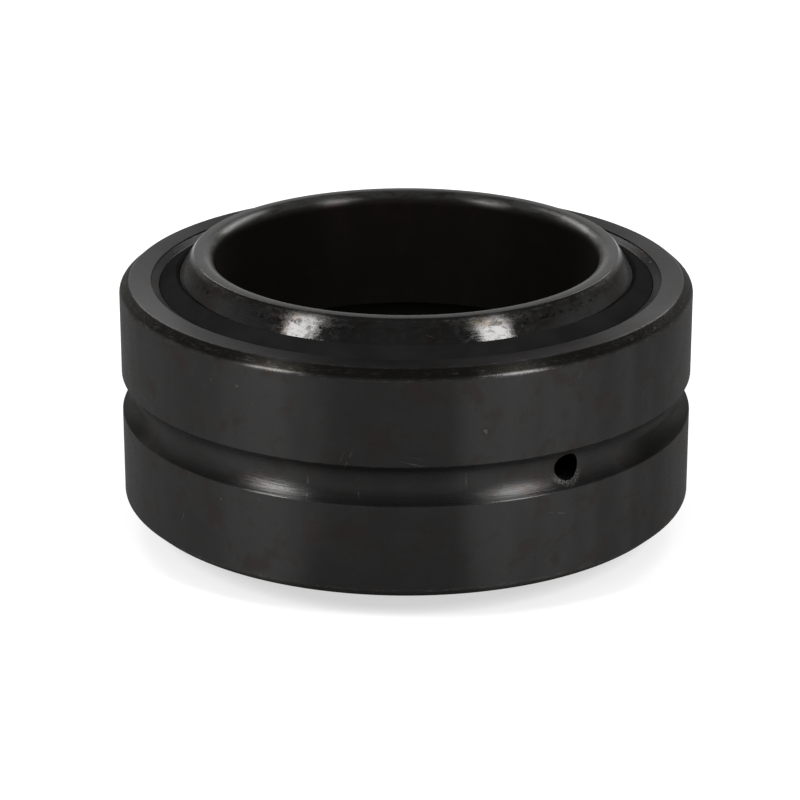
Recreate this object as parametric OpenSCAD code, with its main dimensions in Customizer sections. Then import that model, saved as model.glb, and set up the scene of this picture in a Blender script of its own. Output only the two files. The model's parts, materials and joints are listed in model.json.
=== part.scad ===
// Radial spherical plain bearing with two lip seals.
// Z is the bore axis and the origin is the centre of the ball. Millimetres.

/* [Bearing] */
// Diameter of the bore
bore_d = 60; // [52:0.5:72]
// Wall of the inner ring, from the bore to the ball, halfway along
inner_wall = 10; // [9:0.25:12]
// Wall of the outer ring, from the ball to the outside, halfway along
outer_wall = 5; // [4.5:0.25:8]
// Width of the inner ring
inner_w = 44; // [38:0.5:46]
// Width of the outer ring
outer_w = 36; // [32:0.5:40]

/* [Edges] */
// Width of the outer ring's edge chamfers, measured along the radius
outer_edge_r = 1.6; // [0.5:0.1:2.5]
// Height of the outer ring's edge chamfers
outer_edge_h = 1.4; // [0.5:0.1:3]
// Radius of the rounded lips of the bore
bore_lip = 2; // [0.5:0.1:2.5]
// Chamfer between the inner ring's end faces and the ball
ball_edge = 0.2; // [0.1:0.05:0.5]

/* [Grease ways] */
// Width of the groove round the outer ring
groove_w = 6.3; // [4:0.1:8]
// Depth of the groove round the outer ring
groove_depth = 1.6; // [0.8:0.1:2]
// Width of the grease groove in the race
race_groove_w = 4; // [2:0.1:6]
// Depth of the grease groove in the race
race_groove_depth = 0.8; // [0.4:0.1:1.2]
// Width of the grease groove in the bore
bore_groove_w = 6; // [3:0.1:8]
// Depth of the grease groove in the bore
bore_groove_depth = 1.2; // [0.6:0.1:2]
// Diameter of the grease holes
hole_d = 4.1; // [2:0.1:5]
// Direction of the first grease hole, from +X
hole_angle = -57; // [-180:1:180]

/* [Seals] */
// Depth of the seal seat below the face of the outer ring
seat_depth = 4; // [3.5:0.1:4.5]
// Width of the seal seat, from the ball to its wall, at the face of the outer ring
seat_w = 3; // [2.6:0.1:3.4]
// How far the sloping mouth of the seat widens beyond the wall
mouth_flare = 1.3; // [0.8:0.1:1.8]
// Depth of the sloping mouth
mouth_depth = 0.8; // [0.5:0.1:1.4]
// Height of the clip groove at the bottom of the seat
clip_h = 1.6; // [1.2:0.1:2]
// Depth of the clip groove behind the seat's wall
clip_depth = 0.7; // [0.4:0.1:1]
// How far the seal's lip stands above the face of the outer ring
lip_rise = 0.9; // [0.4:0.1:1.2]
// Distance from the ball to the crest of the seal's lip, at the face of the outer ring
lip_w = 0.5; // [0.3:0.1:1]

/* [Fits] */
// Running clearance between ball and race, on the radius
race_clearance = 0.05; // [0.02:0.01:0.1]
// Clearance between the seals and the ball
lip_clearance = 0.1; // [0.05:0.01:0.3]
// Clearance between the seals and their seats
seat_clearance = 0.05; // [0.02:0.01:0.2]

/* [Hidden] */
$fn = 96;
bore_r = bore_d / 2;
ball_r = bore_r + inner_wall;
outer_r = ball_r + outer_wall;
// Overlap that keeps cutting shapes clear of the faces that they cut
cut = 1;
// Radius from which the blanks of the outer ring and the seals start, well inside the ball
blank_r = ball_r / 2;
// Radius of the ball's section at the face of the outer ring
ball_face_r = sqrt(ball_r * ball_r - outer_w * outer_w / 4);
seat_r = ball_face_r + seat_w;
mouth_r = seat_r + mouth_flare;
lip_r = ball_face_r + lip_w;
seat_z = outer_w / 2 - seat_depth;
mouth_z = outer_w / 2 - mouth_depth;
clip_z = seat_z + clip_h;
lip_z = outer_w / 2 + lip_rise;
// Radius of the ball's section at the end faces of the inner ring
face_r = sqrt(ball_r * ball_r - inner_w * inner_w / 4);

// Radius of an arc with the given chord and depth
function arc_radius(chord, depth) = (chord * chord / 4 + depth * depth) / (2 * depth);

// Section of a round-bottomed groove, cut outwards from radius r
module groove_outwards(r, width, depth) {
    arc_r = arc_radius(width, depth);
    translate([r + depth - arc_r, 0])
        circle(arc_r);
}

// Section of a round-bottomed groove, cut inwards from radius r
module groove_inwards(r, width, depth) {
    arc_r = arc_radius(width, depth);
    translate([r - depth + arc_r, 0])
        circle(arc_r);
}

// Draws the section of its children at both ends of the bearing
module both_ends() {
    children();
    mirror([0, 1])
        children();
}

// Two radial holes, opposite each other, from the bore outwards
module grease_holes(angle) {
    for (turn = [0, 180])
        rotate([0, 90, angle + turn])
            cylinder(h = outer_r + cut, d = hole_d);
}

// Blank of the outer ring with its chamfered edges
module outer_blank() {
    half_w = outer_w / 2;
    polygon([
        [blank_r, -half_w],
        [outer_r - outer_edge_r, -half_w],
        [outer_r, -half_w + outer_edge_h],
        [outer_r, half_w - outer_edge_h],
        [outer_r - outer_edge_r, half_w],
        [blank_r, half_w],
    ]);
}

// Seat of the upper seal: a sloping mouth, a straight wall and a clip groove at the bottom
module seal_seat() {
    polygon([
        [blank_r - cut, seat_z],
        [seat_r + clip_depth, seat_z],
        [seat_r + clip_depth, clip_z],
        [seat_r, clip_z],
        [seat_r, mouth_z],
        [mouth_r, outer_w / 2],
        [mouth_r, outer_w / 2 + cut],
        [blank_r - cut, outer_w / 2 + cut],
    ]);
}

// Section of the upper seal: a clipped foot, and a lip that slopes up to the ball
module seal_section() {
    wall_r = seat_r - seat_clearance;
    foot_r = wall_r + clip_depth;
    foot_z = seat_z + seat_clearance;
    difference() {
        polygon([
            [blank_r, foot_z],
            [foot_r, foot_z],
            [foot_r, clip_z - seat_clearance],
            [wall_r, clip_z - seat_clearance],
            [wall_r, mouth_z],
            [lip_r, lip_z],
            [blank_r, lip_z - (lip_r - blank_r) / 2],
        ]);
        circle(ball_r + lip_clearance);
    }
}

module outer_ring() {
    color("#2b2b2a")
        difference() {
            rotate_extrude()
                difference() {
                    outer_blank();
                    circle(ball_r + race_clearance);
                    both_ends()
                        seal_seat();
                    groove_inwards(outer_r, groove_w, groove_depth);
                    groove_outwards(ball_r, race_groove_w, race_groove_depth);
                }
            grease_holes(hole_angle);
        }
}

// Blank of the inner ring: square to the end faces, with a chamfer next to the ball
module inner_blank() {
    half_w = inner_w / 2;
    polygon([
        [bore_r, -half_w],
        [face_r - ball_edge, -half_w],
        [ball_r + cut, -half_w + ball_edge + ball_r + cut - face_r],
        [ball_r + cut, half_w - ball_edge - ball_r - cut + face_r],
        [face_r - ball_edge, half_w],
        [bore_r, half_w],
    ]);
}

// What the rounded upper lip of the bore takes off its corner
module bore_lip_cut() {
    corner = [bore_r, inner_w / 2];
    difference() {
        translate(corner - [cut, bore_lip])
            square([bore_lip + cut, bore_lip + cut]);
        translate(corner + [bore_lip, -bore_lip])
            circle(bore_lip);
    }
}

module inner_ring() {
    color("#242423")
        difference() {
            rotate_extrude()
                difference() {
                    intersection() {
                        inner_blank();
                        circle(ball_r);
                    }
                    both_ends()
                        bore_lip_cut();
                    groove_outwards(bore_r, bore_groove_w, bore_groove_depth);
                }
            grease_holes(hole_angle + 90);
        }
}

module upper_seal() {
    color("#171717")
        rotate_extrude()
            seal_section();
}

module lower_seal() {
    color("#171717")
        rotate_extrude()
            mirror([0, 1])
                seal_section();
}

outer_ring();
inner_ring();
upper_seal();
lower_seal();
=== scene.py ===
"""Looks of a sealed spherical plain bearing: turned rings in black steel, moulded seals, a white studio."""
import json
import math
from collections import namedtuple

import bmesh
import bpy
from mathutils import Matrix, Vector


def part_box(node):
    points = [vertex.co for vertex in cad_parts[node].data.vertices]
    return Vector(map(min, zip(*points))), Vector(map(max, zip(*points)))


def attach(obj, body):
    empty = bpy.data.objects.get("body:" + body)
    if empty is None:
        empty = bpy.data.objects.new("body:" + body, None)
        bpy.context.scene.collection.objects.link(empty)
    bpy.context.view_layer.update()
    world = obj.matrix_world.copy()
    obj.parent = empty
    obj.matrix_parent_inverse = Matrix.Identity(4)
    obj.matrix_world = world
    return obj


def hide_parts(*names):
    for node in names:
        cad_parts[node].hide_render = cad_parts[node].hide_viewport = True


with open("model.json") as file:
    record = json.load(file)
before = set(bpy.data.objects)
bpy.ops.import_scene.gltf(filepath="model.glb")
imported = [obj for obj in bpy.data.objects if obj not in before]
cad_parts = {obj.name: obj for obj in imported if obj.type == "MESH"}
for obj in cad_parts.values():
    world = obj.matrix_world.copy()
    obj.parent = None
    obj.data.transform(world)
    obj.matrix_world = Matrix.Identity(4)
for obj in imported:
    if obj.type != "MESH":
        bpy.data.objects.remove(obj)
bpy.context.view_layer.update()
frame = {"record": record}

MM = 0.001

# Sizes of the bearing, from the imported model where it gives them, otherwise as in the part's source
mounts = {mount["name"]: mount["dims"] for mount in frame["record"]["mounts"] if mount["dims"]}
race_clearance, lip_clearance, seat_clearance = 0.05 * MM, 0.1 * MM, 0.05 * MM
outer_r = mounts["housing_seat"]["r_mm"] * MM
bore_r = mounts["shaft_bore"]["r_mm"] * MM
outer_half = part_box("outer_ring")[1][2]
inner_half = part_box("inner_ring")[1][2]
lip_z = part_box("upper_seal")[1][2]
seat_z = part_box("upper_seal")[0][2] - seat_clearance
bore_lip = inner_half - mounts["shaft_bore"]["length_mm"] * MM / 2
outer_edge_h = outer_half - mounts["housing_seat"]["length_mm"] * MM / 2
outer_edge_r = 1.6 * MM
ball_r = 40 * MM
ball_edge = 0.2 * MM
groove_w, groove_depth = 6.3 * MM, 1.6 * MM
race_groove_w, race_groove_depth = 4 * MM, 0.8 * MM
bore_groove_w, bore_groove_depth = 6 * MM, 1.2 * MM
hole_r = 2.05 * MM
outer_hole_angle = math.radians(-57)
inner_hole_angle = math.radians(33)
seat_w, lip_w = 3 * MM, 0.5 * MM
clip_h, clip_depth = 1.6 * MM, 0.7 * MM
mouth_depth, mouth_flare = 0.8 * MM, 1.3 * MM
# Radius of the ball's section at the face of the outer ring, and at that of the inner ring
ball_face_r = math.sqrt(ball_r**2 - outer_half**2)
face_edge = math.sqrt(ball_r**2 - inner_half**2)
seat_r = ball_face_r + seat_w
mouth_r = seat_r + mouth_flare
lip_r = ball_face_r + lip_w
mouth_z = outer_half - mouth_depth
clip_z = seat_z + clip_h
# The turned edge stands a little proud of the sloping mouth
mouth_step, mouth_lean = 0.3 * MM, 0.05 * MM
# Where the outer ring is split, from the front, and where the lips have rubbed the ball
split_angle = math.radians(130)
rub_z = 20.4 * MM

# How finely the rings are turned and their sections divided
TURN_STEPS = 480
EASE_STEPS = 4
RACE_STEPS = 8
RACE_GROOVE_STEPS = 8
GROOVE_STEPS = 18
BORE_GROOVE_STEPS = 14
LIP_STEPS = 10
BALL_STEPS = 72
SEAL_STEPS = 10
HOLE_SIDES = 64
# The drill is longer than the ring is wide, so that it goes through both walls
DRILL_LENGTH = 3 * outer_r
MERGE_DISTANCE = 1e-7
SHARP_ANGLE = math.radians(35)

# How far each kind of corner is rounded
EASE = {
    "seat": 0.1 * MM,
    "seat_wall": 0.15 * MM,
    "mouth": 0.05 * MM,
    "mouth_edge": 0.1 * MM,
    "chamfer_top": 0.22 * MM,
    "upper_chamfer": 0.5 * MM,
    "lower_chamfer": 0.2 * MM,
    "groove": 0.14 * MM,
    "ball_edge": 0.08 * MM,
    "seal_foot": 0.15 * MM,
    "seal_neck": 0.1 * MM,
    "seal_wall": 0.2 * MM,
    "seal_crest": 0.22 * MM,
}

# Blackened steel: how bright its film mirrors head-on, how rough it is, how much it mirrors at a slant
# on the sides and on the end faces, how far from the ends the faces' share reaches, and the faces' height
Steel = namedtuple("Steel", "film roughness side face face_depth face_z")
OUTER_STEEL = Steel(0.0242, 0.26, 0.54, 0.7, 0.15 * MM, outer_half)
INNER_STEEL = Steel(0.025, 0.1, 0.5, 0.76, 0.9 * MM, inner_half)

# A colour and how strongly it covers what lies under it
Paint = namedtuple("Paint", "colour cover")
# Unevenness of the film, as shares of its brightness
DARK_FILM = (0.93, 0.92, 0.91)
PALE_FILM = Paint((1.02, 1.01, 1.0), 1.0)
STAINED_FILM = Paint((1.34, 1.33, 1.32), 0.6)
BROWN_FILM = Paint((1.0, 0.82, 0.76), 0.7)
# Bare or darkened steel, and painted shade in the outer groove and in the grease hole
SCRATCHED = Paint((0.13, 0.127, 0.12), 0.55)
RUBBED = Paint((0.09, 0.088, 0.083), 0.7)
DRILLED = Paint((0.12, 0.118, 0.112), 0.8)
GROOVE_FILM = Paint((0.012, 0.012, 0.0118), 0.1)
# Painted shade: the low wall of the outer groove made darker at its sides, for the dark ceiling it mirrors
GROOVE_PAINTED_SHADE = Paint((0.005, 0.005, 0.0042), 0.82)
CHAMFER_FILM = Paint((0.0145, 0.0138, 0.0118), 0.95)
# Black for the split line, and painted shade for the inside of the grease hole
SPLIT_BLACK_AND_HOLE_SHADE = Paint((0.002, 0.002, 0.002), 1.0)
# Painted sheen: brighter steel on the bore lip, so that its highlights shine brighter
LIP_PAINTED_SHEEN = Paint((0.058, 0.0575, 0.056), 1.0)
SMEARED = Paint((0.0175, 0.0155, 0.0115), 1.0)
PITTED = Paint((0.003, 0.003, 0.003), 0.85)
# The groove in the bore, darker and not metallic
BORE_GROOVE_DARKER = Paint((0.0044, 0.0043, 0.0034), 1.0)
BORE_DULL = (0.0067, 0.0063, 0.0053, 1)
BORE_BROWN = (0.0086, 0.007, 0.0059, 1)
# How strongly the split line is blackened, and how strongly painted shade darkens the inside of the grease
# hole
SPLIT_DARK, HOLE_SHADE = 0.85, 0.9
# How strongly the ball is smeared below and above the line that the lips have rubbed
SMEAR_BELOW, SMEAR_ABOVE = 0.06, 0.6
# Seal and dust
SEAL_DARK = (0.0075, 0.0075, 0.0075, 1)
SEAL_PALE = (0.0098, 0.0098, 0.0096, 1)
OUTER_DUST = Paint((0.06, 0.058, 0.046), 1.0)
INNER_DUST = Paint((0.07, 0.067, 0.056), 0.5)
SEAL_DUST = Paint((0.05, 0.048, 0.042), 0.6)
# How high the bump of the steel and of the seal's skin stands, and how strongly each shows
BUMP_HEIGHT = 0.04 * MM
STEEL_BUMP, SEAL_BUMP = 0.4, 0.3
# How far the grain, the scratches and the split line stand out of the steel or lie in it
GRAIN_RELIEF, SCRATCH_RELIEF, SPLIT_RELIEF = 0.35, -0.5, -1.5
# How much stronger the lathe rings are in the outer groove
GROOVE_MARKS = 2.5
# Roughness that the grain, wear and scratches add to the steel
GRAIN_ROUGHNESS, WEAR_ROUGHNESS, SCRATCH_ROUGHNESS = 0.12, 0.16, 0.15
# Roughness that the duller zones add: the outer face and groove, the bore lip, the rubbed rim and the ball
FACE_DULL, GROOVE_DULL = 0.16, 0.03
LIP_DULL, RIM_DULL, BALL_DULL = 0.12, 0.09, 0.17
# How strongly the lathe and grinding rings draw reflections out, and which way, in turns
DRAWN_OUT, DRAWN_TURN = 0.85, 0.25
# Share of the mirror that the sides lose at a glancing angle, and that the bore lacks
GLANCING_MATT = 0.84
BORE_MATT = 0.55

# Limits between which masks on the outer ring rise or fall: radii, heights and depths below the end faces
GROOVE_WALL = (outer_r - 0.15 * MM, outer_r - 0.02 * MM)
GROOVE_REACH = (3.1 * MM, 3.4 * MM)
CHAMFER_START, CHAMFER_END = (0.08 * MM, 0.25 * MM), (1.0 * MM, 1.35 * MM)
CHAMFER_INSIDE = (outer_r - 2.4 * MM, outer_r - 2.0 * MM)
OUTER_FACE = (0.01 * MM, 0.1 * MM)
HOLE_EDGE = (hole_r + 0.03 * MM, hole_r + 0.1 * MM)
BURR_REACH = (hole_r + 0.25 * MM, hole_r + 1.1 * MM)
BURR_LOW = (-0.5 * MM, -2.0 * MM)
BURR_OUTSIDE = (ball_r + 1.5 * MM, ball_r + 2.0 * MM)
SPLIT_WIDTH = (0.03 * MM, 0.09 * MM)
# Height and angles of the painted shade on the outer groove's low wall
SHADE_HEIGHT = (1.0 * MM, -0.3 * MM)
# The same round the ring, in degrees from the front: where a mask rises and where it falls
SHADE_LEFT_ANGLES, SHADE_RIGHT_ANGLES = (-61, -70, -98, -125), (46, 57, 98, 125)
# The same on the inner ring
BORE_WALL = (bore_r + 0.03 * MM, bore_r + 0.5 * MM)
BORE_GROOVE_REACH = (2.9 * MM, 3.2 * MM)
BORE_GROOVE_START = (bore_r + 0.01 * MM, bore_r + 0.12 * MM)
BORE_GROOVE_END = (bore_r + 1.5 * MM, bore_r + 2.5 * MM)
LIP_START, LIP_END = (bore_r + 0.2 * MM, bore_r + 0.6 * MM), (bore_r + 1.3 * MM, bore_r + 2.1 * MM)
LIP_DULL_END = (bore_r + 1.2 * MM, bore_r + 2.2 * MM)
DUST_START = (bore_r + 0.5 * MM, bore_r + 2.0 * MM)
PIT_REACH = (0.15 * MM, 0.6 * MM)
SMEAR_RISE = (rub_z - 0.3 * MM, rub_z + 0.4 * MM)
RIM_RISE = (rub_z - 0.2 * MM, rub_z + 0.3 * MM)
BALL_START = (face_edge, face_edge + 0.15 * MM)

# Studio: light for matt surfaces from all round, the floor's own shade and glow, and the lamps
WHITE = (1, 1, 1, 1)
AMBIENT = 0.6
CEILING = 0.42
CEILING_RISE = (0.3, 0.5)
FLOOR_GREY = (0.42, 0.42, 0.42, 1)
FLOOR_GAP = 0.02 * MM
FLOOR_R = 4
FLOOR_SIDES = 96
FLOOR_GLOW_NEAR, FLOOR_GLOW_FAR = 0.6, 0.78
FLOOR_GLOW_RISE = (0.15, 0.6)
# Stretch of the floor in front that the steel mirrors as dimmer, in degrees, and by how much
FRONT = (-29, -22, 13, 21)
FRONT_DIMMED = 0.42
LAMP_ELEVATION = 36
LAMP_DISTANCE = 0.7
LAMP_SIZE = (0.16, 0.28)


def arc(centre, radius, start, end, steps):
    """Corners (r, z, ease) along an arc about a centre, from start to end in degrees."""
    corners = []
    for i in range(steps + 1):
        angle = math.radians(start + (end - start) * i / steps)
        corners.append((centre[0] + radius * math.cos(angle), centre[1] + radius * math.sin(angle), 0))
    return corners


def groove(r, width, depth, outwards, steps):
    """Corners of a round-bottomed groove at radius r, from its upper edge to its lower one."""
    radius = (width**2 / 4 + depth**2) / (2 * depth)
    half = math.degrees(math.asin(width / 2 / radius))
    if outwards:
        return arc((r + depth - radius, 0), radius, half, -half, steps)
    return arc((r - depth + radius, 0), radius, 180 - half, 180 + half, steps)


def mirrored(corners):
    """The same corners at the lower end, in the order that carries the outline on."""
    return [(r, -z, ease) for r, z, ease in reversed(corners)]


def eased(corners):
    """Closed outline of a section whose corners are rounded over the length that each one gives."""
    outline = []
    count = len(corners)
    for i, (r, z, ease) in enumerate(corners):
        here = Vector((r, z))
        if ease == 0:
            outline.append(here)
            continue
        behind = Vector(corners[i - 1][:2]) - here
        ahead = Vector(corners[(i + 1) % count][:2]) - here
        first = here + behind.normalized() * ease
        last = here + ahead.normalized() * ease
        for step in range(EASE_STEPS + 1):
            s = step / EASE_STEPS
            outline.append(first * (1 - s) ** 2 + here * (2 * s * (1 - s)) + last * s**2)
    return outline


def outer_end(chamfer_ease):
    """Corners of the outer ring's upper end, from the seal seat over the face to the groove."""
    return [
        (seat_r + clip_depth, seat_z, EASE["seat"]),
        (seat_r + clip_depth, clip_z, EASE["seat"]),
        (seat_r, clip_z, EASE["seat"]),
        (seat_r, mouth_z, EASE["seat_wall"]),
        (mouth_r - mouth_lean, outer_half - mouth_step, EASE["mouth"]),
        (mouth_r, outer_half, EASE["mouth_edge"]),
        (outer_r - outer_edge_r, outer_half, EASE["chamfer_top"]),
        (outer_r, outer_half - outer_edge_h, chamfer_ease),
        (outer_r, groove_w / 2, EASE["groove"]),
    ]


def outer_section():
    """Section of the outer ring, from the upper seal seat round the outside and back up the race."""
    race_r = ball_r + race_clearance
    race_top = math.degrees(math.asin(seat_z / race_r))
    race_groove = groove(ball_r, race_groove_w, race_groove_depth, True, RACE_GROOVE_STEPS)
    groove_top = math.degrees(math.asin(race_groove_w / 2 / race_r))
    outside = groove(outer_r, groove_w, groove_depth, False, GROOVE_STEPS)[1:-1]
    race = arc((0, 0), race_r, -race_top, -groove_top, RACE_STEPS)
    race += race_groove[-2:0:-1]
    race += arc((0, 0), race_r, groove_top, race_top, RACE_STEPS)
    upper = outer_end(EASE["upper_chamfer"])
    lower = mirrored(outer_end(EASE["lower_chamfer"]))
    return eased(upper + outside + lower + race)


def inner_section():
    """Section of the inner ring, from the upper bore lip over the ball and back up the bore."""
    face_r = face_edge - ball_edge
    # The chamfer leaves the end face at 45 degrees and meets the ball here
    spare = face_r - inner_half
    chamfer = (-spare + math.sqrt(spare**2 - 2 * (face_r**2 + inner_half**2 - ball_r**2))) / 2
    ball_top = math.degrees(math.atan2(inner_half - chamfer, face_r + chamfer))
    lip = arc((bore_r + bore_lip, inner_half - bore_lip), bore_lip, 180, 90, LIP_STEPS)
    face = [(face_r, inner_half, EASE["ball_edge"])]
    ball = arc((0, 0), ball_r, ball_top, -ball_top, BALL_STEPS)
    bore_groove = groove(bore_r, bore_groove_w, bore_groove_depth, True, BORE_GROOVE_STEPS)
    return eased(lip + face + ball + mirrored(face) + mirrored(lip) + bore_groove[::-1])


def seal_section(up):
    """Section of a seal: a clipped foot, a wall, and a lip that slopes up to the ball."""
    wall_r = seat_r - seat_clearance
    foot_r = wall_r + clip_depth
    inside_r = ball_r + lip_clearance
    foot_z = seat_z + seat_clearance
    neck_z = clip_z - seat_clearance
    # The inner slope of the lip falls by half towards the ball and meets it here
    slope = 1 / 2
    crest = lip_z - lip_r * slope
    lean = crest * slope
    steep = 1 + slope**2
    tip_r = (-lean + math.sqrt(lean**2 - steep * (crest**2 - inside_r**2))) / steep
    tip = math.degrees(math.atan2(crest + tip_r * slope, tip_r))
    heel = math.degrees(math.asin(foot_z / inside_r))
    corners = [
        (foot_r, foot_z, EASE["seal_foot"]),
        (foot_r, neck_z, EASE["seal_foot"]),
        (wall_r, neck_z, EASE["seal_neck"]),
        (wall_r, mouth_z, EASE["seal_wall"]),
        (lip_r, lip_z, EASE["seal_crest"]),
    ]
    corners += arc((0, 0), inside_r, tip, heel, SEAL_STEPS)
    if not up:
        corners = mirrored(corners)
    return eased(corners)


def feed(tree, socket, value):
    """Links a node's output to a socket, or sets the socket to a plain value."""
    if isinstance(value, bpy.types.NodeSocket):
        tree.links.new(value, socket)
    else:
        socket.default_value = value


def new_node(tree, kind, inputs=None, **settings):
    """Adds a node, sets its properties, and feeds its inputs by name or number."""
    node = tree.nodes.new(kind)
    for key, value in settings.items():
        setattr(node, key, value)
    for key, value in (inputs or {}).items():
        feed(tree, node.inputs[key], value)
    return node


def turning_tree():
    """Geometry nodes that turn a section about Z and drill a cross hole through the ring."""
    tree = bpy.data.node_groups.new("turned_ring", "GeometryNodeTree")
    inputs = {
        "Section": "NodeSocketGeometry",
        "Steps": "NodeSocketInt",
        "Path radius": "NodeSocketFloat",
        "Drilled": "NodeSocketBool",
        "Hole radius": "NodeSocketFloat",
        "Hole length": "NodeSocketFloat",
        "Hole angle": "NodeSocketFloat",
        "Finish": "NodeSocketMaterial",
    }
    for label, kind in inputs.items():
        tree.interface.new_socket(label, in_out="INPUT", socket_type=kind)
    tree.interface.new_socket("Ring", in_out="OUTPUT", socket_type="NodeSocketGeometry")
    given = tree.nodes.new("NodeGroupInput").outputs
    path = new_node(tree, "GeometryNodeCurvePrimitiveCircle",
                    {"Resolution": given["Steps"], "Radius": given["Path radius"]})
    ring = new_node(tree, "GeometryNodeCurveToMesh",
                    {"Curve": path.outputs[0], "Profile Curve": given["Section"]})
    size = {"Vertices": HOLE_SIDES, "Radius": given["Hole radius"], "Depth": given["Hole length"]}
    drill = new_node(tree, "GeometryNodeMeshCylinder", size)
    turn = new_node(tree, "ShaderNodeCombineXYZ", {"Y": math.pi / 2, "Z": given["Hole angle"]})
    aimed = new_node(tree, "GeometryNodeTransform",
                     {"Geometry": drill.outputs["Mesh"], "Rotation": turn.outputs[0]})
    bored = new_node(tree, "GeometryNodeMeshBoolean", {"Mesh 1": ring.outputs[0], "Mesh 2": aimed.outputs[0]},
                     operation="DIFFERENCE", solver="EXACT")
    choice = {"Switch": given["Drilled"], "False": ring.outputs[0], "True": bored.outputs["Mesh"]}
    chosen = new_node(tree, "GeometryNodeSwitch", choice, input_type="GEOMETRY")
    real = new_node(tree, "GeometryNodeRealizeInstances", {"Geometry": chosen.outputs[0]})
    finish = new_node(tree, "GeometryNodeSetMaterial",
                      {"Geometry": real.outputs[0], "Material": given["Finish"]})
    new_node(tree, "NodeGroupOutput", {"Ring": finish.outputs[0]})
    return tree


def section_curve(name, outline, path_r):
    """The section as a closed curve beside the path that it is turned along."""
    curve = bpy.data.curves.new(name, "CURVE")
    curve.dimensions = "3D"
    spline = curve.splines.new("POLY")
    spline.points.add(len(outline) - 1)
    for point, place in zip(spline.points, outline):
        point.co = (place.x - path_r, -place.y, 0, 1)
    spline.use_cyclic_u = True
    drawn = bpy.data.objects.new(name, curve)
    bpy.context.collection.objects.link(drawn)
    return drawn


def turned_piece(name, node, body, outline, finish, hole_angle=None):
    """Turns a section into a ring that stands for a node of the frame and rides its body."""
    path_r = ball_r
    drawn = section_curve(name + "_section", outline, path_r)
    modifier = drawn.modifiers.new("turning", "NODES")
    modifier.node_group = TURNING
    values = {
        "Steps": TURN_STEPS,
        "Path radius": path_r,
        "Drilled": hole_angle is not None,
        "Hole radius": hole_r,
        "Hole length": DRILL_LENGTH,
        "Hole angle": hole_angle or 0.0,
        "Finish": finish,
    }
    for item in TURNING.interface.items_tree:
        if item.in_out == "INPUT" and item.name in values:
            modifier[item.identifier] = values[item.name]
    view_layer = bpy.context.evaluated_depsgraph_get()
    mesh = bpy.data.meshes.new_from_object(drawn.evaluated_get(view_layer))
    drawn.modifiers.remove(modifier)
    bpy.data.objects.remove(drawn)
    shape = bmesh.new()
    shape.from_mesh(mesh)
    bmesh.ops.remove_doubles(shape, verts=shape.verts, dist=MERGE_DISTANCE)
    bmesh.ops.recalc_face_normals(shape, faces=shape.faces)
    shape.to_mesh(mesh)
    shape.free()
    mesh.shade_smooth()
    mesh.set_sharp_from_angle(angle=SHARP_ANGLE)
    piece = bpy.data.objects.new(name, mesh)
    bpy.context.collection.objects.link(piece)
    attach(piece, body)
    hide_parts(node)


def maths(tree, operation, *values):
    """Output of a Math node with the given operands."""
    return new_node(tree, "ShaderNodeMath", dict(enumerate(values)), operation=operation).outputs[0]


def times(tree, first, *others):
    """Product of several values."""
    for other in others:
        first = maths(tree, "MULTIPLY", first, other)
    return first


def larger(tree, first, *others):
    """The largest of several values."""
    for other in others:
        first = maths(tree, "MAXIMUM", first, other)
    return first


def without(tree, mask):
    """The rest of a mask, up to one."""
    return maths(tree, "SUBTRACT", 1.0, mask)


def vector_maths(tree, operation, first, second=None, output="Vector"):
    """Output of a Vector Math node; scaling takes a number as its second operand, the others a vector."""
    inputs = {0: first}
    if second is not None:
        inputs["Scale" if operation == "SCALE" else 1] = second
    return new_node(tree, "ShaderNodeVectorMath", inputs, operation=operation).outputs[output]


def ramp(tree, value, low, high, start=0.0, end=1.0):
    """Smooth step of a value from start at low to end at high."""
    limits = {"Value": value, "From Min": low, "From Max": high, "To Min": start, "To Max": end}
    return new_node(tree, "ShaderNodeMapRange", limits, interpolation_type="SMOOTHSTEP").outputs["Result"]


def fade(tree, value, low, high):
    """Smooth step of a value from one at low to nothing at high."""
    return ramp(tree, value, low, high, 1.0, 0.0)


def band(tree, value, rise, fall):
    """Mask of a stretch of a value, which rises between two limits and falls between two others."""
    return times(tree, ramp(tree, value, *rise), fade(tree, value, *fall))


def blended(tree, factor, first, second):
    """Colour between two colours or colour outputs."""
    # The sockets of a Mix node for colours: the factor, A and B
    inputs = {0: factor, 6: first, 7: second}
    return new_node(tree, "ShaderNodeMix", inputs, data_type="RGBA").outputs[2]


def painted(tree, colour, mask, paint, film=1.0):
    """Lays a paint, whose colour may be a share of a film's brightness, over a colour where the mask says."""
    laid = [film * share for share in paint.colour] + [1]
    return blended(tree, times(tree, mask, paint.cover), colour, laid)


def shader_group(name, inputs, outputs):
    """A shader node group with named values: the tree, its input sockets and its output node."""
    tree = bpy.data.node_groups.new(name, "ShaderNodeTree")
    for label, value in inputs.items():
        socket = tree.interface.new_socket(label, in_out="INPUT", socket_type="NodeSocketFloat")
        socket.default_value = value
    for label in outputs:
        tree.interface.new_socket(label, in_out="OUTPUT", socket_type="NodeSocketFloat")
    given = tree.nodes.new("NodeGroupInput").outputs
    out = tree.nodes.new("NodeGroupOutput")
    return tree, given, out


# Where a point of a ring lies: its place, distance from the bore axis, height, and way round from the front
RingPlace = namedtuple("RingPlace", "place radius height around")


def ring_place(tree):
    """Nodes that say where a point of a ring lies."""
    place = tree.nodes.new("ShaderNodeTexCoord").outputs["Object"]
    x, y, z = new_node(tree, "ShaderNodeSeparateXYZ", {0: place}).outputs
    flat = new_node(tree, "ShaderNodeCombineXYZ", {0: x, 1: y}).outputs[0]
    radius = vector_maths(tree, "LENGTH", flat, output="Value")
    around = maths(tree, "ARCTAN2", x, times(tree, y, -1.0))
    return RingPlace(place, radius, z, around)


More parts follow.
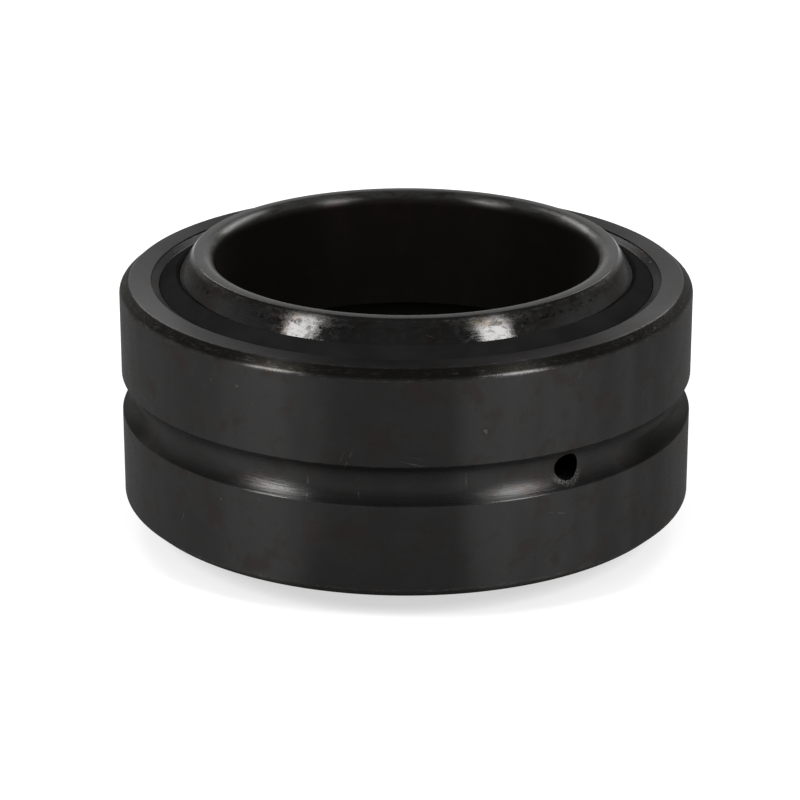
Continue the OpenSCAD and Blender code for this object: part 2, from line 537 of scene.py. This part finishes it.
def ring_noise(tree, at, fineness, length, detail):
    """Noise drawn out round the axis: fine across the rings, changing slowly along them."""
    unit = vector_maths(tree, "NORMALIZE", vector_maths(tree, "MULTIPLY", at.place, (1, 1, 0)))
    slow = vector_maths(tree, "SCALE", unit, length)
    lift = new_node(tree, "ShaderNodeCombineXYZ", {2: at.height}).outputs[0]
    where = vector_maths(tree, "ADD", slow, lift)
    inputs = {"Vector": where, "W": at.radius, "Scale": fineness, "Detail": detail, "Roughness": 0.65}
    return new_node(tree, "ShaderNodeTexNoise", inputs, noise_dimensions="4D").outputs["Fac"]


def noise_at(tree, where, scale, detail, roughness=0.55):
    """Plain noise at the given coordinates."""
    inputs = {"Vector": where, "Scale": scale, "Detail": detail, "Roughness": roughness}
    return new_node(tree, "ShaderNodeTexNoise", inputs).outputs["Fac"]


def turning_marks_group():
    """Fine rings left by the lathe and the grinding wheel, which fade in and out round the part."""
    tree, given, out = shader_group("turning_marks", {"Fineness": 3500.0, "Length": 0.002}, ["Marks"])
    rings = ring_noise(tree, ring_place(tree), given["Fineness"], given["Length"], detail=3.0)
    feed(tree, out.inputs["Marks"], rings)
    return tree


def black_oxide_group():
    """Uneven blackening: upright stains, cloudy patches, fine grain and brownish spots."""
    tree, given, out = shader_group("black_oxide", {"Stains": 55.0, "Patches": 210.0},
                                    ["Stains", "Patches", "Grain", "Brown"])
    at = ring_place(tree)
    tall = vector_maths(tree, "MULTIPLY", at.place, (1, 1, 0.06))
    stains = noise_at(tree, tall, given["Stains"], detail=3.0)
    patches = noise_at(tree, at.place, given["Patches"], detail=4.0)
    spots = noise_at(tree, at.place, scale=220.0, detail=5.0, roughness=0.6)
    feed(tree, out.inputs["Stains"], ramp(tree, stains, 0.44, 0.56))
    feed(tree, out.inputs["Patches"], ramp(tree, patches, 0.38, 0.62))
    feed(tree, out.inputs["Grain"], noise_at(tree, at.place, scale=1600.0, detail=4.0, roughness=0.7))
    feed(tree, out.inputs["Brown"], ramp(tree, spots, 0.5, 0.66))
    return tree


def scratch_layer(tree, at, lean, seed):
    """Straight thin scratches on the outside, all leaning the same way."""
    # Cells per metre along the scratches and across them
    lengthways, crossways = 40.0, 1400.0
    along = times(tree, at.around, outer_r)
    turned_a = maths(tree, "ADD", times(tree, along, math.cos(lean)), times(tree, at.height, math.sin(lean)))
    turned_b = maths(tree, "SUBTRACT", times(tree, at.height, math.cos(lean)),
                     times(tree, along, math.sin(lean)))
    where = new_node(tree, "ShaderNodeCombineXYZ", {
        0: times(tree, turned_a, lengthways),
        1: maths(tree, "MULTIPLY_ADD", turned_b, crossways, seed),
    })
    cells = new_node(tree, "ShaderNodeTexVoronoi", {"Vector": where.outputs[0], "Scale": 1.0},
                     voronoi_dimensions="2D")
    chance = new_node(tree, "ShaderNodeSeparateColor", {"Color": cells.outputs["Color"]}).outputs[0]
    return times(tree, fade(tree, cells.outputs["Distance"], 0.02, 0.11), ramp(tree, chance, 0.974, 0.99))


def scuffs_group():
    """Thin scratches on the outside, broken into dashes, and pale specks of dust."""
    tree, given, out = shader_group("scuffs", {"Specks": 330.0}, ["Scratches", "Specks"])
    at = ring_place(tree)
    steep = scratch_layer(tree, at, math.radians(66), seed=3.0)
    level = scratch_layer(tree, at, math.radians(-14), seed=11.0)
    upright = scratch_layer(tree, at, math.radians(93), seed=29.0)
    dashes = ramp(tree, noise_at(tree, at.place, scale=900.0, detail=3.0), 0.44, 0.62)
    feed(tree, out.inputs["Scratches"], times(tree, larger(tree, steep, level, upright), dashes))
    bend = new_node(tree, "ShaderNodeTexNoise", {"Vector": at.place, "Scale": 1600.0, "Detail": 3.0})
    offset = vector_maths(tree, "SCALE", bend.outputs["Color"], 0.9 * MM)
    bent = vector_maths(tree, "ADD", at.place, offset)
    dots = new_node(tree, "ShaderNodeTexVoronoi", {"Vector": bent, "Scale": given["Specks"]})
    chance = new_node(tree, "ShaderNodeSeparateColor", {"Color": dots.outputs["Color"]}).outputs
    size = maths(tree, "MULTIPLY_ADD", chance[1], 0.12, 0.035)
    small = fade(tree, maths(tree, "DIVIDE", dots.outputs["Distance"], size), 0.7, 1.0)
    feed(tree, out.inputs["Specks"], times(tree, small, ramp(tree, chance[0], 0.88, 0.9)))
    return tree


def corner_wear_group():
    """Rubbed metal along a turned corner, drawn out round the ring and broken into flecks."""
    names = {"Corner r": outer_r, "Corner z": outer_half, "Width": 0.3 * MM}
    tree, given, out = shader_group("corner_wear", names, ["Wear"])
    at = ring_place(tree)
    off_r = maths(tree, "SUBTRACT", at.radius, given["Corner r"])
    off_z = maths(tree, "SUBTRACT", maths(tree, "ABSOLUTE", at.height), given["Corner z"])
    away = maths(tree, "SQRT", maths(tree, "ADD", times(tree, off_r, off_r), times(tree, off_z, off_z)))
    near = fade(tree, maths(tree, "DIVIDE", away, given["Width"]), 0.1, 1.0)
    streaks = ramp(tree, ring_noise(tree, at, fineness=6800.0, length=0.005, detail=4.0), 0.42, 0.72)
    flecks = ramp(tree, noise_at(tree, at.place, scale=420.0, detail=6.0, roughness=0.75), 0.38, 0.64)
    feed(tree, out.inputs["Wear"], times(tree, near, streaks, flecks))
    return tree


def placed(tree, group, **values):
    """Puts a shader group in a material with its own values and returns its outputs."""
    node = tree.nodes.new("ShaderNodeGroup")
    node.node_tree = group
    for key, value in values.items():
        node.inputs[key.replace("_", " ")].default_value = value
    return node.outputs


def new_material(name):
    """A material with a Principled shader that has no plain gloss: the tree and the shader."""
    material = bpy.data.materials.new(name)
    material.use_nodes = True
    shader = material.node_tree.nodes["Principled BSDF"]
    shader.inputs["Specular IOR Level"].default_value = 0.0
    return material, material.node_tree, shader


def drilled_hole(tree, at, angle):
    """Painted shade inside a grease hole, and the speckled bare metal that the drill left below its mouth."""
    axis = (math.cos(angle), math.sin(angle), 0)
    beside = vector_maths(tree, "CROSS_PRODUCT", at.place, axis)
    away = vector_maths(tree, "LENGTH", beside, output="Value")
    near = fade(tree, away, *BURR_REACH)
    low = ramp(tree, at.height, *BURR_LOW)
    speckle = ramp(tree, noise_at(tree, at.place, scale=4600.0, detail=1.0), 0.45, 0.6)
    outside = ramp(tree, at.radius, *BURR_OUTSIDE)
    return fade(tree, away, *HOLE_EDGE), times(tree, near, low, speckle, outside)


def split_line(tree, at):
    """Hairline where the outer ring was cracked open to take the ball, away from the grease hole."""
    upright = new_node(tree, "ShaderNodeCombineXYZ", {0: at.height, 1: at.radius}).outputs[0]
    wander = noise_at(tree, upright, scale=420.0, detail=6.0, roughness=0.7)
    swing = 2.2 * MM
    jagged = maths(tree, "MULTIPLY_ADD", wander, swing, -swing / 2)
    along = times(tree, maths(tree, "SUBTRACT", at.around, split_angle), outer_r)
    away = maths(tree, "ABSOLUTE", maths(tree, "SUBTRACT", along, jagged))
    return fade(tree, away, *SPLIT_WIDTH)


def around_band(tree, at, angles):
    """Mask of a stretch round the axis, from the angles in degrees where it rises and falls."""
    limits = [math.radians(angle) for angle in angles]
    return band(tree, at.around, limits[:2], limits[2:])


def painted_shade_sides(tree, at):
    """Where the low wall of the outer groove gets painted shade, standing in for the dark ceiling it mirrors,
    on the left and on the right.
    """
    sides = larger(tree, around_band(tree, at, SHADE_LEFT_ANGLES), around_band(tree, at, SHADE_RIGHT_ANGLES))
    return times(tree, sides, ramp(tree, at.height, *SHADE_HEIGHT))


def steel_colour(tree, film, oxide, wear, scuffs):
    """Mirror colour of the blackened steel, with stains, brown spots, scratches and rubbed metal."""
    colour = [film * share for share in DARK_FILM] + [1]
    colour = painted(tree, colour, oxide["Patches"], PALE_FILM, film)
    colour = painted(tree, colour, oxide["Stains"], STAINED_FILM, film)
    colour = painted(tree, colour, oxide["Brown"], BROWN_FILM, film)
    colour = painted(tree, colour, scuffs["Scratches"], SCRATCHED)
    return painted(tree, colour, wear, RUBBED)


def worn_corners(tree, corners):
    """Wear along several turned corners, each (r, z, width)."""
    wear = []
    for r, z, width in corners:
        wear.append(placed(tree, GROUPS["corner_wear"], Corner_r=r, Corner_z=z, Width=width)["Wear"])
    return larger(tree, *wear)


def finish_steel(tree, shader, at, steel, oxide, wear, scuffs, dulled, metal, marks, cut_line=None):
    """Sets how the blackened steel mirrors: uneven gloss, lathe rings, and end faces brighter at a slant."""
    rings = placed(tree, GROUPS["turning_marks"])["Marks"]
    smooth = steel.roughness - GRAIN_ROUGHNESS / 2
    rough = maths(tree, "MULTIPLY_ADD", oxide["Grain"], GRAIN_ROUGHNESS, smooth)
    rough = maths(tree, "MULTIPLY_ADD", wear, WEAR_ROUGHNESS, rough)
    rough = maths(tree, "MULTIPLY_ADD", scuffs["Scratches"], SCRATCH_ROUGHNESS, rough)
    feed(tree, shader.inputs["Roughness"], maths(tree, "ADD", rough, dulled))
    up = maths(tree, "ABSOLUTE", at.height)
    on_face = ramp(tree, up, steel.face_z - steel.face_depth, steel.face_z - 0.02 * MM)
    slanting = maths(tree, "MULTIPLY_ADD", on_face, steel.face - steel.side, steel.side)
    feed(tree, shader.inputs["Specular Tint"], slanting)
    # The oxide film is matt at a glancing angle, so the sides don't flare up at their edges
    glancing = new_node(tree, "ShaderNodeLayerWeight", {"Blend": 0.5}).outputs["Facing"]
    matt = times(tree, ramp(tree, glancing, 0.45, 0.85, 0.0, GLANCING_MATT), without(tree, on_face))
    feed(tree, shader.inputs["Metallic"], times(tree, metal, without(tree, matt)))
    relief = maths(tree, "MULTIPLY_ADD", oxide["Grain"], GRAIN_RELIEF, times(tree, rings, marks))
    relief = maths(tree, "MULTIPLY_ADD", scuffs["Scratches"], SCRATCH_RELIEF, relief)
    if cut_line is not None:
        relief = maths(tree, "MULTIPLY_ADD", cut_line, SPLIT_RELIEF, relief)
    skin = {"Height": relief, "Strength": STEEL_BUMP, "Distance": BUMP_HEIGHT}
    feed(tree, shader.inputs["Normal"], new_node(tree, "ShaderNodeBump", skin).outputs[0])
    # The lathe and grinding rings draw reflections out across themselves
    round_axis = new_node(tree, "ShaderNodeTangent", direction_type="RADIAL", axis="Z")
    feed(tree, shader.inputs["Tangent"], round_axis.outputs[0])
    shader.inputs["Anisotropic"].default_value = DRAWN_OUT
    shader.inputs["Anisotropic Rotation"].default_value = DRAWN_TURN


def outer_black_steel():
    """Blackened outer ring: stains and scratches outside, rubbed corners, drill burr, split line, and painted
    shade on the groove's low wall and inside the grease hole.
    """
    material, tree, shader = new_material("outer_black_steel")
    oxide = placed(tree, GROUPS["black_oxide"])
    scuffs = placed(tree, GROUPS["scuffs"])
    at = ring_place(tree)
    up = maths(tree, "ABSOLUTE", at.height)
    down = maths(tree, "SUBTRACT", outer_half, up)
    hole, burr = drilled_hole(tree, at, outer_hole_angle)
    line = split_line(tree, at)
    corners = worn_corners(tree, [
        (outer_r - outer_edge_r, outer_half, 0.25 * MM),
        (outer_r - outer_edge_r / 2, outer_half - outer_edge_h / 2, 0.9 * MM),
        (outer_r, outer_half - outer_edge_h, 0.5 * MM),
        (outer_r, groove_w / 2, 0.1 * MM),
    ])
    wear = larger(tree, corners, burr)
    in_groove = times(tree, fade(tree, at.radius, *GROOVE_WALL), fade(tree, up, *GROOVE_REACH))
    on_chamfer = times(tree, band(tree, down, CHAMFER_START, CHAMFER_END),
                       ramp(tree, at.radius, *CHAMFER_INSIDE))
    on_face = fade(tree, down, *OUTER_FACE)
    colour = steel_colour(tree, OUTER_STEEL.film, oxide, wear, scuffs)
    colour = painted(tree, colour, times(tree, in_groove, without(tree, wear)), GROOVE_FILM)
    # Painted shade on the sides of the groove's low wall
    colour = painted(tree, colour, times(tree, in_groove, painted_shade_sides(tree, at)), GROOVE_PAINTED_SHADE)
    colour = painted(tree, colour, times(tree, on_chamfer, without(tree, wear)), CHAMFER_FILM)
    colour = painted(tree, colour, burr, DRILLED)
    # The split line is blackened, and the inside of the grease hole gets painted shade
    dark = larger(tree, times(tree, line, SPLIT_DARK), times(tree, hole, HOLE_SHADE))
    colour = painted(tree, colour, dark, SPLIT_BLACK_AND_HOLE_SHADE)
    colour = painted(tree, colour, scuffs["Specks"], OUTER_DUST)
    feed(tree, shader.inputs["Base Color"], colour)
    dulled = maths(tree, "MULTIPLY_ADD", on_face, FACE_DULL, times(tree, in_groove, GROOVE_DULL))
    metal = without(tree, scuffs["Specks"])
    marks = maths(tree, "MULTIPLY_ADD", in_groove, GROOVE_MARKS, 1.0)
    finish_steel(tree, shader, at, OUTER_STEEL, oxide, wear, scuffs, dulled, metal, marks, line)
    return material


def inner_black_steel():
    """Blackened inner ring: polished ball and faces, a painted sheen on the bore lip, a dull brownish bore,
    and a darker groove in it.
    """
    material, tree, shader = new_material("inner_black_steel")
    oxide = placed(tree, GROUPS["black_oxide"], Stains=90.0)
    scuffs = placed(tree, GROUPS["scuffs"], Specks=260.0)
    at = ring_place(tree)
    up = maths(tree, "ABSOLUTE", at.height)
    wear = worn_corners(tree, [
        (face_edge - ball_edge, inner_half, 0.15 * MM),
        (face_edge + ball_edge, inner_half - 2 * ball_edge, 0.3 * MM),
    ])
    bore = fade(tree, at.radius, *BORE_WALL)
    in_groove = times(tree, fade(tree, up, *BORE_GROOVE_REACH),
                      band(tree, at.radius, BORE_GROOVE_START, BORE_GROOVE_END))
    # Where the bore lip gets its painted sheen
    lip_sheen_zone = band(tree, at.radius, LIP_START, LIP_END)
    # Ragged pits in clusters along the line that the seal's lip has rubbed, and smears above it
    off_line = maths(tree, "ABSOLUTE", maths(tree, "SUBTRACT", up, rub_z))
    flecks = ring_noise(tree, at, fineness=2600.0, length=0.02, detail=3.0)
    clusters = noise_at(tree, at.place, scale=130.0, detail=2.0)
    pits = times(tree, fade(tree, off_line, *PIT_REACH), ramp(tree, flecks, 0.53, 0.6),
                 ramp(tree, clusters, 0.42, 0.56))
    smears = ramp(tree, ring_noise(tree, at, fineness=700.0, length=0.012, detail=5.0), 0.47, 0.6)
    smears = times(tree, smears, ramp(tree, up, *SMEAR_RISE, SMEAR_BELOW, SMEAR_ABOVE))
    colour = steel_colour(tree, INNER_STEEL.film, oxide, wear, scuffs)
    # Painted sheen on the bore lip
    colour = painted(tree, colour, lip_sheen_zone, LIP_PAINTED_SHEEN)
    colour = painted(tree, colour, smears, SMEARED)
    colour = painted(tree, colour, pits, PITTED)
    colour = blended(tree, bore, colour, blended(tree, oxide["Brown"], BORE_DULL, BORE_BROWN))
    colour = painted(tree, colour, in_groove, BORE_GROOVE_DARKER)
    dusty = ramp(tree, at.radius, *DUST_START)
    colour = painted(tree, colour, times(tree, scuffs["Specks"], dusty), INNER_DUST)
    feed(tree, shader.inputs["Base Color"], colour)
    metal = without(tree, larger(tree, times(tree, bore, BORE_MATT), in_groove))
    # The lip and the rubbed rim are duller than the end faces, and the ball's gloss is ragged
    dull_lip = ramp(tree, at.radius, *LIP_DULL_END, LIP_DULL, 0.0)
    dull_rim = ramp(tree, up, *RIM_RISE, 0.0, RIM_DULL)
    ragged = ramp(tree, ring_noise(tree, at, fineness=1500.0, length=0.02, detail=5.0), 0.47, 0.6)
    on_ball = ramp(tree, at.radius, *BALL_START, 0.0, BALL_DULL)
    dulled = maths(tree, "MULTIPLY_ADD", ragged, on_ball, maths(tree, "ADD", dull_lip, dull_rim))
    finish_steel(tree, shader, at, INNER_STEEL, oxide, wear, scuffs, dulled, metal, 1.0)
    return material


def seal_polyurethane():
    """Matt black moulded seal with a fine skin and a little dust."""
    material, tree, shader = new_material("seal_polyurethane")
    oxide = placed(tree, GROUPS["black_oxide"], Patches=120.0)
    scuffs = placed(tree, GROUPS["scuffs"], Specks=240.0)
    colour = blended(tree, oxide["Patches"], SEAL_DARK, SEAL_PALE)
    feed(tree, shader.inputs["Base Color"], painted(tree, colour, scuffs["Specks"], SEAL_DUST))
    feed(tree, shader.inputs["Roughness"], ramp(tree, oxide["Grain"], 0.3, 0.7, 0.55, 0.7))
    skin = {"Height": oxide["Grain"], "Strength": SEAL_BUMP, "Distance": BUMP_HEIGHT}
    feed(tree, shader.inputs["Normal"], new_node(tree, "ShaderNodeBump", skin).outputs[0])
    return material


def studio_floor():
    """Plain white floor that keeps a light shadow; the steel mirrors it as dimmer straight in front."""
    ground = (0, 0, -inner_half - FLOOR_GAP)
    bpy.ops.mesh.primitive_circle_add(vertices=FLOOR_SIDES, radius=FLOOR_R, fill_type="NGON", location=ground)
    floor = bpy.context.object
    floor.name = "floor"
    material, tree, shader = new_material("white_floor")
    shader.inputs["Base Color"].default_value = FLOOR_GREY
    shader.inputs["Roughness"].default_value = 0.9
    shader.inputs["Emission Color"].default_value = WHITE
    rays = tree.nodes.new("ShaderNodeLightPath").outputs
    seen = larger(tree, rays["Is Camera Ray"], rays["Is Glossy Ray"], rays["Is Transmission Ray"])
    at = ring_place(tree)
    dimmed = times(tree, rays["Is Glossy Ray"], around_band(tree, at, FRONT), FRONT_DIMMED)
    glow = times(tree, seen, ramp(tree, at.radius, *FLOOR_GLOW_RISE, FLOOR_GLOW_NEAR, FLOOR_GLOW_FAR))
    feed(tree, shader.inputs["Emission Strength"], maths(tree, "SUBTRACT", glow, dimmed))
    # From below the floor is clear, so that the underside can be looked at
    below = tree.nodes.new("ShaderNodeNewGeometry").outputs["Backfacing"]
    clear = tree.nodes.new("ShaderNodeBsdfTransparent")
    mixed = new_node(tree, "ShaderNodeMixShader", {0: below, 1: shader.outputs[0], 2: clear.outputs[0]})
    feed(tree, tree.nodes["Material Output"].inputs["Surface"], mixed.outputs[0])
    floor.data.materials.append(material)


def white_world():
    """White surroundings with a dimmer ceiling, which the ball and the rounded corners mirror."""
    world = bpy.data.worlds.new("studio")
    bpy.context.scene.world = world
    world.use_nodes = True
    tree = world.node_tree
    rays = tree.nodes.new("ShaderNodeLightPath").outputs
    seen = larger(tree, rays["Is Camera Ray"], rays["Is Transmission Ray"])
    aim = tree.nodes.new("ShaderNodeTexCoord").outputs["Generated"]
    rise = new_node(tree, "ShaderNodeSeparateXYZ", {0: aim}).outputs[2]
    mirrored_light = ramp(tree, rise, *CEILING_RISE, 1.0, CEILING)
    soft = times(tree, without(tree, rays["Is Glossy Ray"]), AMBIENT)
    strength = maths(tree, "MULTIPLY_ADD", rays["Is Glossy Ray"], mirrored_light, soft)
    background = tree.nodes["Background"]
    background.inputs["Color"].default_value = WHITE
    feed(tree, background.inputs["Strength"], larger(tree, strength, seen))


def softbox(name, azimuth, power):
    """An area lamp that looks at the bearing from the given angle, azimuth 0 being the front."""
    lamp = bpy.data.lights.new(name, "AREA")
    lamp.shape = "RECTANGLE"
    lamp.size, lamp.size_y = LAMP_SIZE
    lamp.energy = power
    rise = math.radians(LAMP_ELEVATION)
    turn = math.radians(azimuth)
    flat = math.cos(rise) * LAMP_DISTANCE
    place = Vector((math.sin(turn) * flat, -math.cos(turn) * flat, math.sin(rise) * LAMP_DISTANCE))
    holder = bpy.data.objects.new(name, lamp)
    holder.location = place
    holder.rotation_euler = (-place).to_track_quat("-Z", "Y").to_euler()
    bpy.context.collection.objects.link(holder)


def photo_camera():
    """Camera at the photograph's angle, from the camera that was fitted to the rings' edges."""
    pitch = math.radians(20.59)
    outer_d = 2 * outer_r
    distance, shift_x, shift_y = 5.59 * outer_d, 0.0106 * outer_d, 0.0338 * outer_d
    focal_px, image_px = 3161, 800
    right = Vector((1, 0, 0))
    up = Vector((0, math.sin(pitch), math.cos(pitch)))
    back = Vector((0, -math.cos(pitch), math.sin(pitch)))
    lens = bpy.data.cameras.new("photo_camera")
    lens.sensor_width = 36
    lens.lens = focal_px / image_px * lens.sensor_width
    lens.clip_start = 0.01
    camera = bpy.data.objects.new("photo_camera", lens)
    camera.matrix_world = Matrix((right, up, back)).transposed().to_4x4()
    camera.location = back * distance - right * shift_x - up * shift_y
    bpy.context.collection.objects.link(camera)
    bpy.context.scene.camera = camera


bpy.context.scene.view_settings.view_transform = "Standard"

GROUPS = {
    "turning_marks": turning_marks_group(),
    "black_oxide": black_oxide_group(),
    "scuffs": scuffs_group(),
    "corner_wear": corner_wear_group(),
}
TURNING = turning_tree()

outer_steel = outer_black_steel()
inner_steel = inner_black_steel()
rubber = seal_polyurethane()

turned_piece("outer_ring_turned", "outer_ring", "outer", outer_section(), outer_steel,
             outer_hole_angle)
turned_piece("inner_ring_turned", "inner_ring", "inner", inner_section(), inner_steel,
             inner_hole_angle)
turned_piece("upper_seal_moulded", "upper_seal", "seals", seal_section(True), rubber)
turned_piece("lower_seal_moulded", "lower_seal", "seals", seal_section(False), rubber)

studio_floor()
white_world()
softbox("left_softbox", azimuth=-58, power=3.4)
softbox("right_softbox", azimuth=48, power=3.3)
softbox("back_left_softbox", azimuth=-152, power=1.3)
softbox("back_right_softbox", azimuth=148, power=1.3)
photo_camera()
